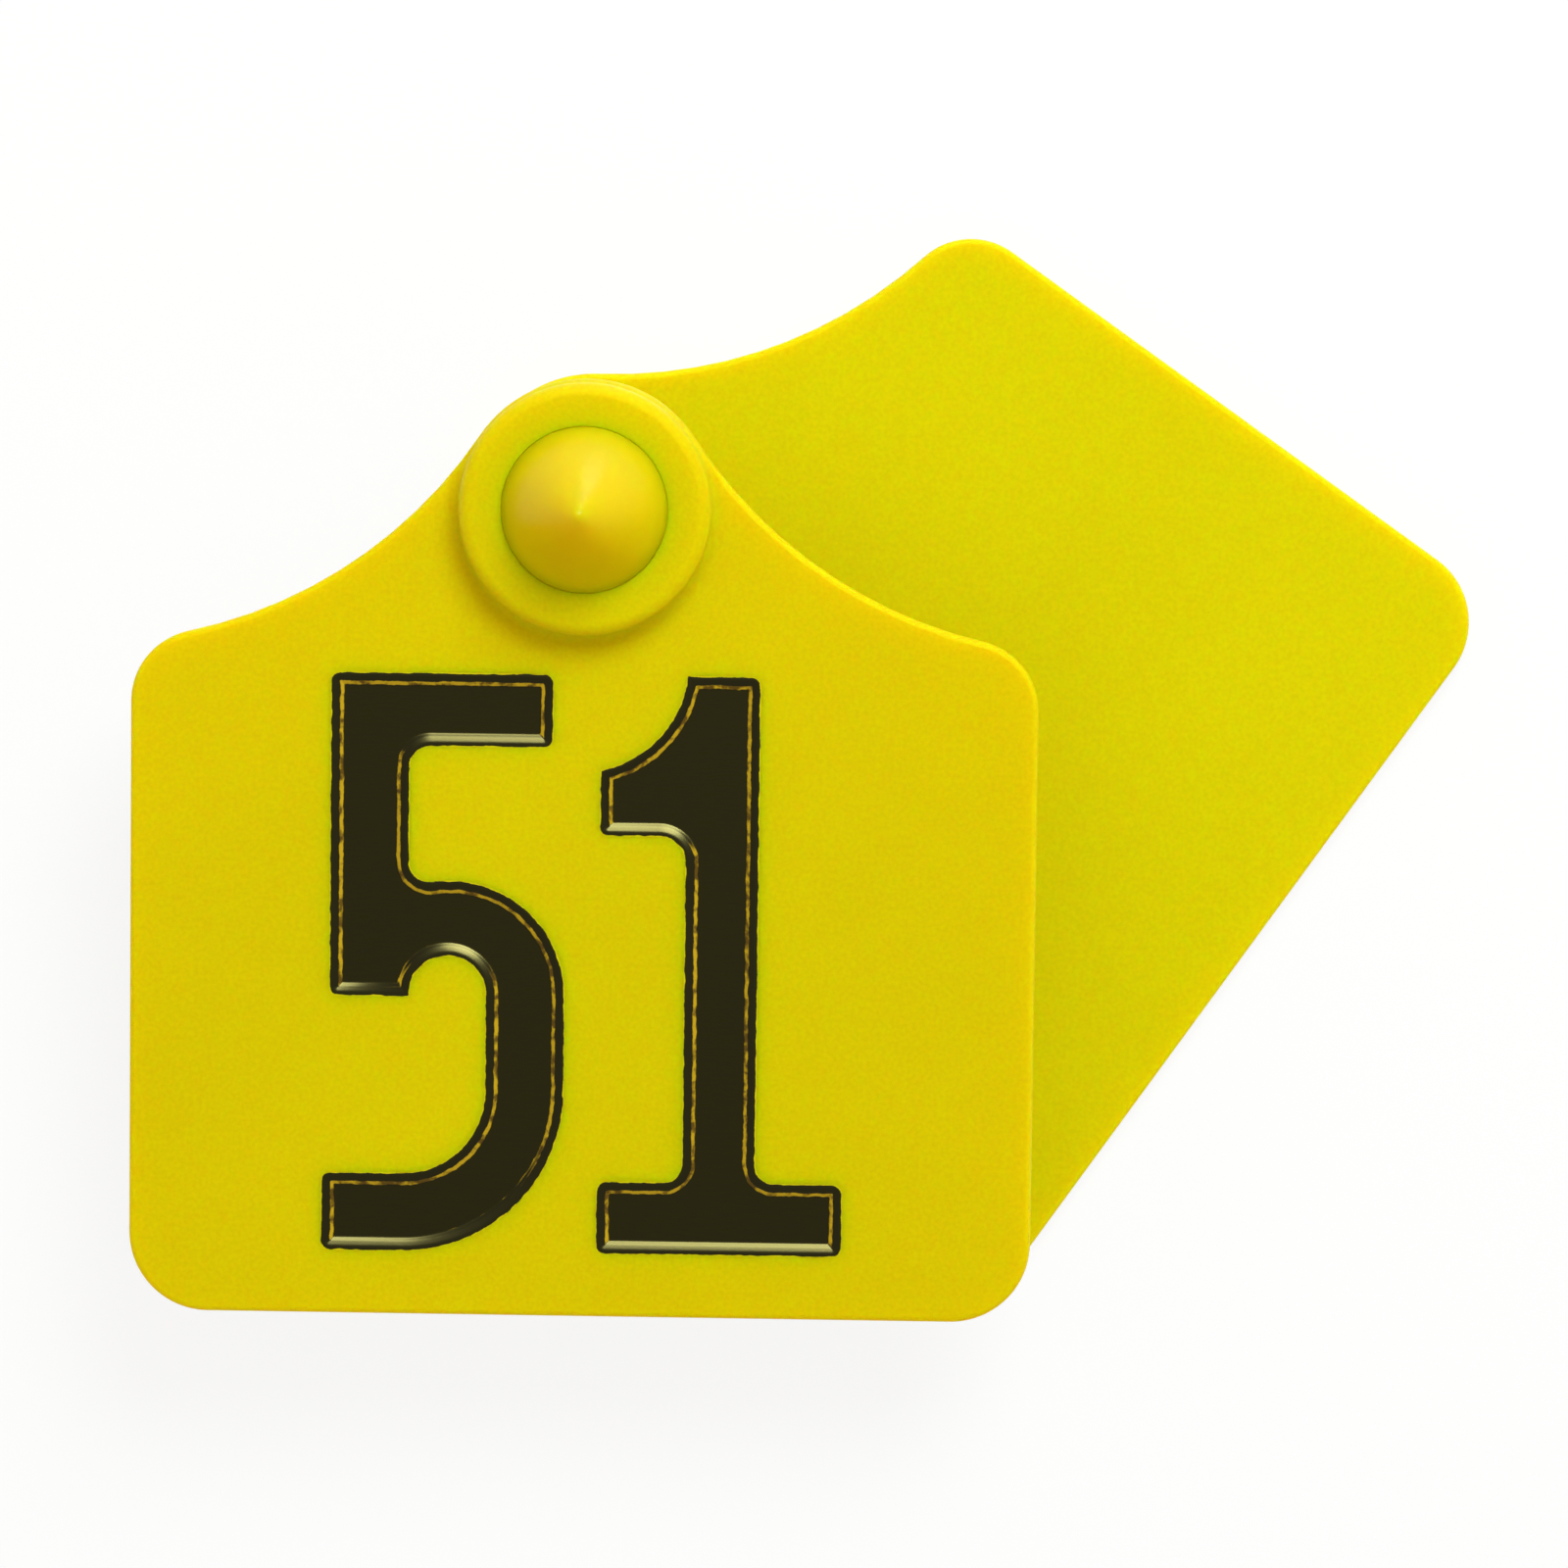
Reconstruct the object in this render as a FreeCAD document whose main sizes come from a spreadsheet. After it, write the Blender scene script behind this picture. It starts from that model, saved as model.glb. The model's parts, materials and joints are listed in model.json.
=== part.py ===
"""Two-piece livestock ear tag: a numbered front panel turning on a pointed stud.

The rear panel carries a hollow stem moulded with it, and a hard pointed tip is set in the
stem's end. The front panel has a raised ring with a stepped hole: the stem turns in its
lip, and the tip sits in its counterbore. Millimetres. The tag lies flat on its rear panel.
Origin: on the stem's axis, at the rear panel's back face. +Z points along the stem to the
tip, and the front panel hangs towards -Y.
"""

import FreeCAD, Part
import math
import os

import Sketcher

Vector = FreeCAD.Vector
Z_AXIS = Vector(0, 0, 1)

# Driving dimensions: name, value, what it sets.
SIZES = [
    ("panel_width", 57.0, "across each panel's parallel sides"),
    ("panel_drop", 51.2, "stem axis to a panel's bottom edge"),
    ("panel_thickness", 1.6, "both panels"),
    ("panel_edge", 0.4, "rounding of the panels' rims"),
    ("neck_radius", 8.05, "round head of a panel, about the stem"),
    ("scoop_radius", 29.75, "hollow side from the head to the shoulder"),
    ("shoulder_radius", 4.5, "upper corner of a panel"),
    ("shoulder_drop", 12.5, "stem axis to the centre of the upper corner"),
    ("corner_radius", 5.0, "bottom corner of a panel"),
    ("ear_gap", 9.6, "free space between the two panels, where the ear goes"),
    ("rear_turn", 55.0, "degrees from the front panel to the rear panel at rest"),
    ("ring_inset", 0.2, "raised ring's wall, inside the head's edge"),
    ("ring_height", 2.5, "raised ring above the front face"),
    ("ring_edge", 0.8, "rounding of the ring's outer edge"),
    ("ring_mouth", 0.25, "rounding of the counterbore's mouth"),
    ("lip_height", 1.8, "lip that the stem turns in, from the back face"),
    ("stem_radius", 2.9, "outside of the stem"),
    ("stem_root", 0.6, "rounding where the stem leaves its disc"),
    ("swivel_clearance", 0.08, "radial gap between the stem and the lip"),
    ("disc_radius", 6.0, "round disc at the foot of the stem"),
    ("disc_height", 0.8, "disc above the rear panel's front face"),
    ("disc_edge", 0.3, "rounding of the disc's edge"),
    ("tip_play", 0.1, "gap between the lip and the tip's shoulder"),
    ("tip_radius", 5.05, "widest part of the tip"),
    ("tip_clearance", 0.3, "radial gap between the tip and the counterbore"),
    ("tip_height", 9.7, "tip's shoulder to its point"),
    ("tip_skirt", 1.5, "straight wall of the tip above its shoulder"),
    ("tip_flank", 30.0, "radius of the tip's slightly swollen flank"),
    ("tip_nose", 0.5, "radius of the point"),
    ("tip_edge", 0.3, "rounding of the tip's shoulder"),
    ("spigot_length", 4.5, "tip's spigot inside the stem"),
    ("spigot_neck", 1.4, "radius of the spigot"),
    ("spigot_barb", 1.9, "radius of the barb at the spigot's end"),
    ("barb_length", 1.6, "length of the barb"),
    ("pin_bore_radius", 1.5, "hole for the applicator's pin"),
    ("pin_bore_floor", 1.0, "stem left between the pin's hole and the spigot"),
    ("numeral_depth", 0.4, "depth of the stamped numerals"),
    ("numeral_foil", 0.15, "black foil on the floor of a numeral"),
    ("numeral_gap", 2.5, "between the two numerals"),
    ("numeral_drop", 10.65, "stem axis to the numerals' top"),
    ("numeral_foot", 4.25, "numerals' bottom to the panel's bottom edge"),
    ("five_width", 14.45, "stem's left side to the bowl's right side"),
    ("five_stroke", 4.6, "upright strokes and hook of the five"),
    ("five_waist", 0.5535, "share of the height from the top to the stem's foot"),
    ("five_bar_length", 13.6, "top bar"),
    ("five_bar_depth", 4.25, "top bar"),
    ("five_bowl", 7.0, "outer radius of the bowl"),
    ("five_arch", 2.6, "inner radius under the bowl"),
    ("five_hook", 10.0, "outer radius of the hook"),
    ("five_tail", 4.9, "straight end of the hook"),
    ("five_fillet", 1.5, "inner corners of the five"),
    ("one_stroke", 4.25, "stem of the one"),
    ("one_stem_inset", 5.4, "base's left end to the stem"),
    ("one_base_length", 15.15, "base bar"),
    ("one_base_depth", 4.25, "base bar"),
    ("one_flag_drop", 9.75, "top to the flag's underside"),
    ("one_flag_end", 3.8, "height of the flag's free end"),
    ("one_flag_arc", 7.1, "hollow upper side of the flag"),
    ("one_flag_fillet", 1.85, "corner under the flag"),
    ("one_base_fillet", 1.35, "corners above the base"),
]

# Heights that several pieces share, written with the names above.
RING_TOP = "sizes.panel_thickness + sizes.ring_height"
FRONT_BACK = "sizes.panel_thickness + sizes.ear_gap"
STEM_TOP = FRONT_BACK + " + sizes.lip_height + sizes.tip_play"
NUMERAL_FLOOR = "sizes.panel_thickness - sizes.numeral_depth"
NUMERAL_HEIGHT = "sizes.panel_drop - sizes.numeral_drop - sizes.numeral_foot"


def make_sheet(doc):
    """Spreadsheet of the driving dimensions, one aliased row each."""
    sheet = doc.addObject("Spreadsheet::Sheet", "sizes")
    for row, (name, value, meaning) in enumerate(SIZES, start=1):
        sheet.set(f"A{row}", name)
        sheet.set(f"B{row}", str(value))
        sheet.setAlias(f"B{row}", name)
        sheet.set(f"C{row}", meaning)
    return sheet


class Outline:
    """A closed outline in a sketch: lines and arcs end to end, then its dimensions.

    A point is known by its number, in the order drawn. The sketch's origin is point None.
    """

    def __init__(self, sketch, start):
        self.sketch = sketch
        self.points = [Vector(*start, 0)]
        self.pieces = []
        self.radii = {}

    def _join(self, geometry, entry, leave, smooth):
        piece = (self.sketch.addGeometry(geometry, False), entry, leave)
        if self.pieces:
            self._tie(self.pieces[-1], piece, smooth)
        self.pieces.append(piece)

    def _tie(self, before, after, smooth):
        kind = "Tangent" if smooth else "Coincident"
        self.rule(kind, before[0], before[2], after[0], after[1])

    def rule(self, kind, *where):
        return self.sketch.addConstraint(Sketcher.Constraint(kind, *where))

    def line(self, x, y, smooth=False):
        """Straight run to (x, y), kept level or upright when it is drawn so."""
        start, end = self.points[-1], Vector(x, y, 0)
        self._join(Part.LineSegment(start, end), 1, 2, smooth)
        if abs(start.x - end.x) < 1e-9:
            self.rule("Vertical", self.pieces[-1][0])
        elif abs(start.y - end.y) < 1e-9:
            self.rule("Horizontal", self.pieces[-1][0])
        self.points.append(end)

    def arc(self, x, y, centre, clockwise, smooth=True):
        """Arc about centre to (x, y)."""
        start, end, centre = self.points[-1], Vector(x, y, 0), Vector(*centre, 0)
        first, last = (end, start) if clockwise else (start, end)
        angles = [math.atan2(p.y - centre.y, p.x - centre.x) for p in (first, last)]
        if angles[1] <= angles[0]:
            angles[1] += 2 * math.pi
        radius = (start - centre).Length
        self.radii[len(self.pieces)] = radius
        circle = Part.Circle(centre, Z_AXIS, radius)
        entry, leave = (2, 1) if clockwise else (1, 2)
        self._join(Part.ArcOfCircle(circle, *angles), entry, leave, smooth)
        self.points.append(end)

    def close(self, smooth=False):
        """Ties the last piece's end to the first piece's start."""
        self._tie(self.pieces[-1], self.pieces[0], smooth)

    def at(self, point):
        """Geometry number and vertex of a point, of the origin, or of an arc's centre."""
        if point is None:
            return -1, 1
        if isinstance(point, tuple):
            return self.pieces[point[1]][0], 3
        piece = self.pieces[point]
        return piece[0], piece[1]

    def _size(self, constraint, expression):
        index = self.sketch.addConstraint(constraint)
        name = f"size{index}"
        self.sketch.renameConstraint(index, name)
        self.sketch.setExpression(f"Constraints.{name}", expression)

    def across(self, first, second, expression):
        """Level distance from one point to another further right."""
        start, end = self._place(first), self._place(second)
        where = (*self.at(first), *self.at(second), end.x - start.x)
        self._size(Sketcher.Constraint("DistanceX", *where), expression)

    def up(self, first, second, expression):
        """Upright distance from one point to another further up."""
        start, end = self._place(first), self._place(second)
        where = (*self.at(first), *self.at(second), end.y - start.y)
        self._size(Sketcher.Constraint("DistanceY", *where), expression)

    def radius(self, piece, expression):
        where = (self.pieces[piece][0], self.radii[piece])
        self._size(Sketcher.Constraint("Radius", *where), expression)

    def _place(self, point):
        if point is None:
            return Vector(0, 0, 0)
        if isinstance(point, tuple):
            return self.sketch.Geometry[self.pieces[point[1]][0]].Center
        return self.points[point]


def centre_of(piece):
    """Names an arc's centre where an Outline method takes a point."""
    return ("centre", piece)


def meeting(first, first_radius, second, second_radius, left):
    """Where two circles cross, on the left or right of the way from first to second."""
    first, second = Vector(*first, 0), Vector(*second, 0)
    way = second - first
    along = (way.Length ** 2 + first_radius ** 2 - second_radius ** 2) / (2 * way.Length)
    aside = math.sqrt(first_radius ** 2 - along ** 2) * (1 if left else -1)
    way.normalize()
    spot = first + way * along + Vector(-way.y, way.x, 0) * aside
    return spot.x, spot.y


def add_sketch(body, name, plane, rise=None):
    """Sketch on one of the body's own planes, raised by an expression along +Z."""
    sketch = body.newObject("Sketcher::SketchObject", name)
    role = next(o for o in body.Origin.OriginFeatures if o.Role == plane)
    sketch.AttachmentSupport = (role, [""])
    sketch.MapMode = "FlatFace"
    if rise:
        axis = "z" if plane == "XY_Plane" else "y"
        sketch.setExpression(f"AttachmentOffset.Base.{axis}", rise)
    return sketch


def add_pad(body, name, sketch, expression):
    pad = body.newObject("PartDesign::Pad", name)
    pad.Profile = sketch
    pad.setExpression("Length", expression)
    sketch.Document.recompute()
    return pad


def add_disc_sketch(body, name, expression):
    """Circle about the stem's axis, in the body's floor plane."""
    sketch = add_sketch(body, name, "XY_Plane")
    circle = sketch.addGeometry(Part.Circle(Vector(0, 0, 0), Z_AXIS, 1.0), False)
    sketch.addConstraint(Sketcher.Constraint("Coincident", circle, 3, -1, 1))
    index = sketch.addConstraint(Sketcher.Constraint("Radius", circle, 1.0))
    sketch.renameConstraint(index, "outside")
    sketch.setExpression("Constraints.outside", expression)
    return sketch


def add_turned(body, kind, name, sketch):
    """Solid of revolution, or turned cut, about the stem's axis."""
    turned = body.newObject(f"PartDesign::{kind}", name)
    turned.Profile = sketch
    turned.ReferenceAxis = (sketch, ["V_Axis"])
    turned.Angle = 360
    sketch.Document.recompute()
    return turned


def round_edges(body, name, expression, chosen):
    """Fillet on the edges of the body's tip that the test picks."""
    base = body.Tip
    edges = [f"Edge{i}" for i, edge in enumerate(base.Shape.Edges, start=1) if chosen(edge)]
    if not edges:
        raise RuntimeError(f"{body.Label}: no edge for {name}")
    fillet = body.newObject("PartDesign::Fillet", name)
    fillet.Base = (base, edges)
    fillet.setExpression("Radius", expression)
    body.Document.recompute()
    return fillet


def is_rim(height, radius=None):
    """Test for an edge lying at one height, and if given a radius, round the axis."""
    def chosen(edge):
        box = edge.BoundBox
        if abs(box.ZMin - height) > 1e-4 or abs(box.ZMax - height) > 1e-4:
            return False
        if radius is None:
            return True
        centred = hasattr(edge.Curve, "Center") and edge.Curve.Center.sub(
            Vector(0, 0, edge.Curve.Center.z)).Length < 1e-4
        return centred and abs(edge.Curve.Radius - radius) < 1e-4
    return chosen


def must_cut(body, before, name):
    """A cut that misses the solid shows no error, so the volumes are compared."""
    if body.Shape.Volume >= before - 1e-6:
        raise RuntimeError(f"{body.Label}: {name} removed nothing")


def draw_panel(sketch, size):
    """Panel outline: round head, hollow sides, rounded shoulders and bottom corners."""
    half, drop = size.panel_width / 2, size.panel_drop
    upper, lower = size.shoulder_radius, size.corner_radius
    head, scoop = size.neck_radius, size.scoop_radius
    shoulder = (half - upper, -size.shoulder_drop)
    hollow = meeting((0, 0), head + scoop, shoulder, scoop + upper, left=True)
    head_share = head / (head + scoop)
    leave = (hollow[0] * head_share, hollow[1] * head_share)
    upper_share = upper / (scoop + upper)
    land = tuple(s + (h - s) * upper_share for s, h in zip(shoulder, hollow))

    outline = Outline(sketch, (-leave[0], leave[1]))
    outline.arc(leave[0], leave[1], (0, 0), clockwise=True)
    outline.arc(land[0], land[1], hollow, clockwise=False)
    outline.arc(half, shoulder[1], shoulder, clockwise=True)
    outline.line(half, -drop + lower, smooth=True)
    outline.arc(half - lower, -drop, (half - lower, -drop + lower), clockwise=True)
    outline.line(-half + lower, -drop, smooth=True)
    outline.arc(-half, -drop + lower, (-half + lower, -drop + lower), clockwise=True)
    outline.line(-half, shoulder[1], smooth=True)
    outline.arc(-land[0], land[1], (-shoulder[0], shoulder[1]), clockwise=True)
    outline.arc(-leave[0], leave[1], (-hollow[0], hollow[1]), clockwise=False)
    outline.close(smooth=True)

    outline.rule("Coincident", *outline.at(centre_of(0)), -1, 1)
    outline.radius(0, "sizes.neck_radius")
    for side in (1, 9):
        outline.radius(side, "sizes.scoop_radius")
    for side in (2, 8):
        outline.radius(side, "sizes.shoulder_radius")
        outline.up(centre_of(side), None, "sizes.shoulder_drop")
    for side in (4, 6):
        outline.radius(side, "sizes.corner_radius")
    outline.across(None, 3, "sizes.panel_width / 2")
    outline.across(7, None, "sizes.panel_width / 2")
    outline.up(5, None, "sizes.panel_drop")


def draw_five(sketch, size):
    """Outline of the numeral 5, left of the panel's centre line."""
    right, top = -size.numeral_gap / 2, -size.numeral_drop
    left = right - size.five_width
    bottom = -size.panel_drop + size.numeral_foot
    foot = top - size.five_waist * (top - bottom)
    stroke, bar = size.five_stroke, size.five_bar_depth
    fillet, bowl, arch = size.five_fillet, size.five_bowl, size.five_arch
    hook = (right - size.five_hook, bottom + size.five_hook)
    inner = size.five_hook - stroke
    bowl_centre = (right - bowl, foot)
    reach = left + stroke + fillet - bowl_centre[0]
    corner = (left + stroke + fillet, foot + math.sqrt((bowl + fillet) ** 2 - reach ** 2))
    share = bowl / (bowl + fillet)
    land = tuple(b + (c - b) * share for b, c in zip(bowl_centre, corner))
    under = (right - stroke - arch, foot)

    outline = Outline(sketch, (left, top))
    outline.line(left + size.five_bar_length, top)
    outline.line(left + size.five_bar_length, top - bar)
    outline.line(left + stroke + fillet, top - bar)
    outline.arc(left + stroke, top - bar - fillet,
                (left + stroke + fillet, top - bar - fillet), clockwise=False)
    outline.line(left + stroke, corner[1], smooth=True)
    outline.arc(land[0], land[1], corner, clockwise=False)
    outline.arc(right, foot, bowl_centre, clockwise=True)
    outline.line(right, hook[1], smooth=True)
    outline.arc(hook[0], bottom, hook, clockwise=True)
    outline.line(hook[0] - size.five_tail, bottom, smooth=True)
    outline.line(hook[0] - size.five_tail, hook[1] - inner)
    outline.line(hook[0], hook[1] - inner)
    outline.arc(hook[0] + inner, hook[1], hook, clockwise=False)
    outline.line(hook[0] + inner, foot, smooth=True)
    outline.arc(under[0] - arch, foot, under, clockwise=False)
    outline.line(left, foot)
    outline.line(left, top)
    outline.close()

    outline.rule("Coincident", *outline.at(centre_of(8)), *outline.at(centre_of(12)))
    for round_piece in (6, 14):
        outline.rule("Horizontal", *outline.at(centre_of(round_piece)), *outline.at(16))
    outline.across(7, None, "sizes.numeral_gap / 2")
    outline.across(0, 7, "sizes.five_width")
    outline.up(0, None, "sizes.numeral_drop")
    outline.up(9, 0, NUMERAL_HEIGHT)
    outline.up(16, 0, f"sizes.five_waist * ({NUMERAL_HEIGHT})")
    outline.across(0, 1, "sizes.five_bar_length")
    outline.up(2, 1, "sizes.five_bar_depth")
    outline.across(0, 4, "sizes.five_stroke")
    outline.across(13, 7, "sizes.five_stroke")
    outline.across(10, 9, "sizes.five_tail")
    for round_piece in (3, 5):
        outline.radius(round_piece, "sizes.five_fillet")
    outline.radius(6, "sizes.five_bowl")
    outline.radius(8, "sizes.five_hook")
    outline.radius(14, "sizes.five_arch")


def draw_one(sketch, size):
    """Outline of the numeral 1, right of the panel's centre line."""
    left, top = size.numeral_gap / 2, -size.numeral_drop
    bottom = -size.panel_drop + size.numeral_foot
    stem = left + size.one_stem_inset
    right = stem + size.one_stroke
    base_top = bottom + size.one_base_depth
    under = top - size.one_flag_drop
    flag_top = under + size.one_flag_end
    flag, base = size.one_flag_fillet, size.one_base_fillet
    hollow = meeting((stem, top), size.one_flag_arc, (left, flag_top), size.one_flag_arc,
                     left=False)
    end = left + size.one_base_length

    outline = Outline(sketch, (stem, top))
    outline.arc(left, flag_top, hollow, clockwise=True, smooth=False)
    outline.line(left, under)
    outline.line(stem - flag, under)
    outline.arc(stem, under - flag, (stem - flag, under - flag), clockwise=True)
    outline.line(stem, base_top + base, smooth=True)
    outline.arc(stem - base, base_top, (stem - base, base_top + base), clockwise=True)
    outline.line(left, base_top, smooth=True)
    outline.line(left, bottom)
    outline.line(end, bottom)
    outline.line(end, base_top)
    outline.line(right + base, base_top)
    outline.arc(right, base_top + base, (right + base, base_top + base), clockwise=True)
    outline.line(right, top, smooth=True)
    outline.line(stem, top)
    outline.close()

    outline.rule("Vertical", *outline.at(0), *outline.at(4))
    outline.rule("Vertical", *outline.at(2), *outline.at(7))
    outline.rule("Horizontal", *outline.at(6), *outline.at(10))
    outline.across(None, 7, "sizes.numeral_gap / 2")
    outline.across(7, 4, "sizes.one_stem_inset")
    outline.across(0, 13, "sizes.one_stroke")
    outline.across(8, 9, "sizes.one_base_length")
    outline.up(13, None, "sizes.numeral_drop")
    outline.up(8, 13, NUMERAL_HEIGHT)
    outline.up(8, 7, "sizes.one_base_depth")
    outline.up(2, 0, "sizes.one_flag_drop")
    outline.up(2, 1, "sizes.one_flag_end")
    outline.radius(0, "sizes.one_flag_arc")
    outline.radius(3, "sizes.one_flag_fillet")
    for corner in (5, 11):
        outline.radius(corner, "sizes.one_base_fillet")


def draw_spigot(sketch, size):
    """Half section of the tip's barbed spigot, hanging below the stem's top."""
    neck, barb = size.spigot_neck, size.spigot_barb
    end, step = -size.spigot_length, -size.spigot_length + size.barb_length
    outline = Outline(sketch, (0, 0))
    outline.line(0, end)
    outline.line(barb, end)
    outline.line(barb, step)
    outline.line(neck, step)
    outline.line(neck, 0)
    outline.line(0, 0)
    outline.close()
    outline.rule("Coincident", *outline.at(0), -1, 1)
    outline.across(1, 2, "sizes.spigot_barb")
    outline.across(0, 5, "sizes.spigot_neck")
    outline.up(1, 0, "sizes.spigot_length")
    outline.up(2, 3, "sizes.barb_length")


def draw_tip(sketch, size):
    """Half section of the pointed head, from its shoulder up."""
    wide, skirt, nose = size.tip_radius, size.tip_skirt, size.tip_nose
    nose_centre = (0, size.tip_height - nose)
    flank = meeting((wide, skirt), size.tip_flank, nose_centre, size.tip_flank - nose,
                    left=True)
    way = Vector(*nose_centre, 0) - Vector(*flank, 0)
    way.normalize()
    outline = Outline(sketch, (0, 0))
    outline.line(wide, 0)
    outline.line(wide, skirt)
    outline.arc(way.x * nose, nose_centre[1] + way.y * nose, flank, clockwise=False,
                smooth=False)
    outline.arc(0, size.tip_height, nose_centre, clockwise=False)
    outline.line(0, 0)
    outline.close()
    outline.rule("Coincident", *outline.at(0), -1, 1)
    outline.rule("PointOnObject", *outline.at(centre_of(3)), -2)
    outline.across(0, 1, "sizes.tip_radius")
    outline.up(1, 2, "sizes.tip_skirt")
    outline.up(0, 4, "sizes.tip_height")
    outline.radius(2, "sizes.tip_flank")
    outline.radius(3, "sizes.tip_nose")


def draw_stepped_bore(sketch, size):
    """Half section of the hole through the ring: lip below, counterbore above."""
    lip = size.stem_radius + size.swivel_clearance
    wide = size.tip_radius + size.tip_clearance
    top = size.panel_thickness + size.ring_height
    outline = Outline(sketch, (0, 0))
    outline.line(lip, 0)
    outline.line(lip, size.lip_height)
    outline.line(wide, size.lip_height)
    outline.line(wide, top)
    outline.line(0, top)
    outline.line(0, 0)
    outline.close()
    outline.rule("Coincident", *outline.at(0), -1, 1)
    outline.across(0, 1, "sizes.stem_radius + sizes.swivel_clearance")
    outline.across(5, 4, "sizes.tip_radius + sizes.tip_clearance")
    outline.up(1, 2, "sizes.lip_height")
    outline.up(0, 5, RING_TOP)


def add_panel_plate(body, size):
    """The flat plate that both mouldings share, with its rim rounded on both faces."""
    sketch = add_sketch(body, f"{body.Name}_outline", "XY_Plane")
    draw_panel(sketch, size)
    add_pad(body, f"{body.Name}_plate", sketch, "sizes.panel_thickness")
    floor, roof = is_rim(0), is_rim(size.panel_thickness)
    round_edges(body, f"{body.Name}_rim", "sizes.panel_edge",
                lambda edge: floor(edge) or roof(edge))


def make_front_panel(doc, size):
    """Numbered panel, its raised ring and its stepped hole, moulded in one."""
    body = doc.addObject("PartDesign::Body", "front_panel")
    add_panel_plate(body, size)
    ring_radius = size.neck_radius - size.ring_inset
    top = size.panel_thickness + size.ring_height
    ring = add_disc_sketch(body, "ring_outside", "sizes.neck_radius - sizes.ring_inset")
    add_pad(body, "ring", ring, RING_TOP)
    round_edges(body, "ring_shoulder", "sizes.ring_edge", is_rim(top, ring_radius))

    before = body.Shape.Volume
    bore = add_sketch(body, "bore_section", "XZ_Plane")
    draw_stepped_bore(bore, size)
    add_turned(body, "Groove", "stepped_bore", bore)
    must_cut(body, before, "stepped bore")
    mouth = size.tip_radius + size.tip_clearance
    round_edges(body, "ring_mouth", "sizes.ring_mouth", is_rim(top, mouth))

    for name, draw in (("five", draw_five), ("one", draw_one)):
        before = body.Shape.Volume
        sketch = add_sketch(body, f"{name}_recess_outline", "XY_Plane", "sizes.panel_thickness")
        draw(sketch, size)
        recess = body.newObject("PartDesign::Pocket", f"{name}_recess")
        recess.Profile = sketch
        recess.setExpression("Length", "sizes.numeral_depth")
        doc.recompute()
        must_cut(body, before, f"{name} recess")
    body.setExpression("Placement.Base.z", FRONT_BACK)
    return body


def make_numeral(doc, size, name, draw):
    """Foil that lines the floor of one stamped numeral."""
    body = doc.addObject("PartDesign::Body", name)
    sketch = add_sketch(body, f"{name}_outline", "XY_Plane", NUMERAL_FLOOR)
    draw(sketch, size)
    add_pad(body, f"{name}_foil", sketch, "sizes.numeral_foil")
    body.setExpression("Placement.Base.z", FRONT_BACK)
    return body


def make_rear_panel(doc, size):
    """Plain panel with its disc and hollow stem, moulded in one."""
    body = doc.addObject("PartDesign::Body", "rear_panel")
    add_panel_plate(body, size)
    disc_top = size.panel_thickness + size.disc_height
    disc = add_disc_sketch(body, "disc_outside", "sizes.disc_radius")
    add_pad(body, "disc", disc, "sizes.panel_thickness + sizes.disc_height")
    round_edges(body, "disc_rim", "sizes.disc_edge", is_rim(disc_top, size.disc_radius))
    stem = add_disc_sketch(body, "stem_outside", "sizes.stem_radius")
    add_pad(body, "stem", stem, STEM_TOP)
    round_edges(body, "stem_foot", "sizes.stem_root", is_rim(disc_top, size.stem_radius))

    before = body.Shape.Volume
    pin = add_disc_sketch(body, "pin_bore_outside", "sizes.pin_bore_radius")
    bore = body.newObject("PartDesign::Pocket", "pin_bore")
    bore.Profile = pin
    bore.Reversed = True
    bore.setExpression("Length", f"{STEM_TOP} - sizes.spigot_length - sizes.pin_bore_floor")
    doc.recompute()
    must_cut(body, before, "pin bore")

    before = body.Shape.Volume
    socket = add_sketch(body, "socket_section", "XZ_Plane", STEM_TOP)
    draw_spigot(socket, size)
    add_turned(body, "Groove", "socket", socket)
    must_cut(body, before, "socket")
    body.Placement = FreeCAD.Placement(Vector(0, 0, 0), FreeCAD.Rotation(Z_AXIS, size.rear_turn))
    body.setExpression("Placement.Rotation.Angle", "sizes.rear_turn")
    return body


def make_stud_tip(doc, size):
    """Hard pointed tip, with the barbed spigot that holds it in the stem."""
    body = doc.addObject("PartDesign::Body", "stud_tip")
    head = add_sketch(body, "head_section", "XZ_Plane")
    draw_tip(head, size)
    add_turned(body, "Revolution", "head", head)
    round_edges(body, "head_shoulder", "sizes.tip_edge", is_rim(0, size.tip_radius))
    spigot = add_sketch(body, "spigot_section", "XZ_Plane")
    draw_spigot(spigot, size)
    add_turned(body, "Revolution", "spigot", spigot)
    body.setExpression("Placement.Base.z", STEM_TOP)
    return body


def check_document(doc, bodies):
    """Stops on a failed object, a loose sketch or a bad solid before anything is written."""
    for item in doc.Objects:
        if {"Invalid", "Error"} & set(item.State):
            raise RuntimeError(f"{item.Name}: {item.State}")
        if item.isDerivedFrom("Sketcher::SketchObject") and not item.FullyConstrained:
            raise RuntimeError(f"{item.Name}: not fully constrained")
    for body in bodies:
        shape = body.Shape
        if shape.isNull() or not shape.isValid() or len(shape.Solids) != 1:
            raise RuntimeError(f"{body.Label}: bad solid")


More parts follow.
